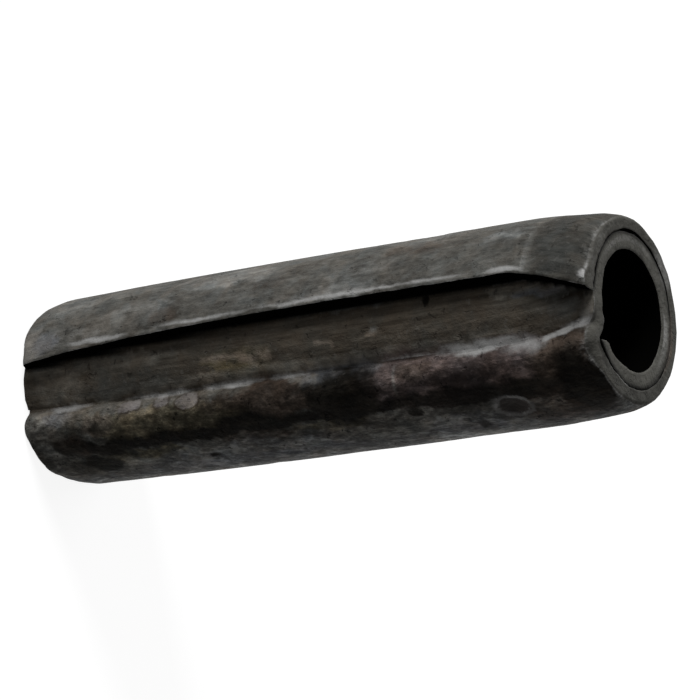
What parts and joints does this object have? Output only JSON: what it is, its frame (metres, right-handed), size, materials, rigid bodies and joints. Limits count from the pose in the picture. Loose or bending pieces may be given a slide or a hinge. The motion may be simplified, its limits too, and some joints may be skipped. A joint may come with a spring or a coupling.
{
  "type": "coiled spring pin",
  "caption": "Coiled spring pin: a strip of spring steel rolled into a tube with an open seam and swaged ends, pressed into a drilled hole.",
  "frame": {"origin": "on the pin's axis, in the plane of the bottom end", "axes": "+Z along the axis towards the top end, whose seam is closed up further; the seam faces between +X and -Y"},
  "size_m": [0.0104, 0.0104, 0.035],
  "materials": {
    "oxidised_steel": "dark brown-black oxide with lengthwise drawing marks, worn bright along the seam and the rims"
  },
  "bodies": {
    "root": {"coiled_pin": "oxidised_steel"}
  },
  "joints": []
}
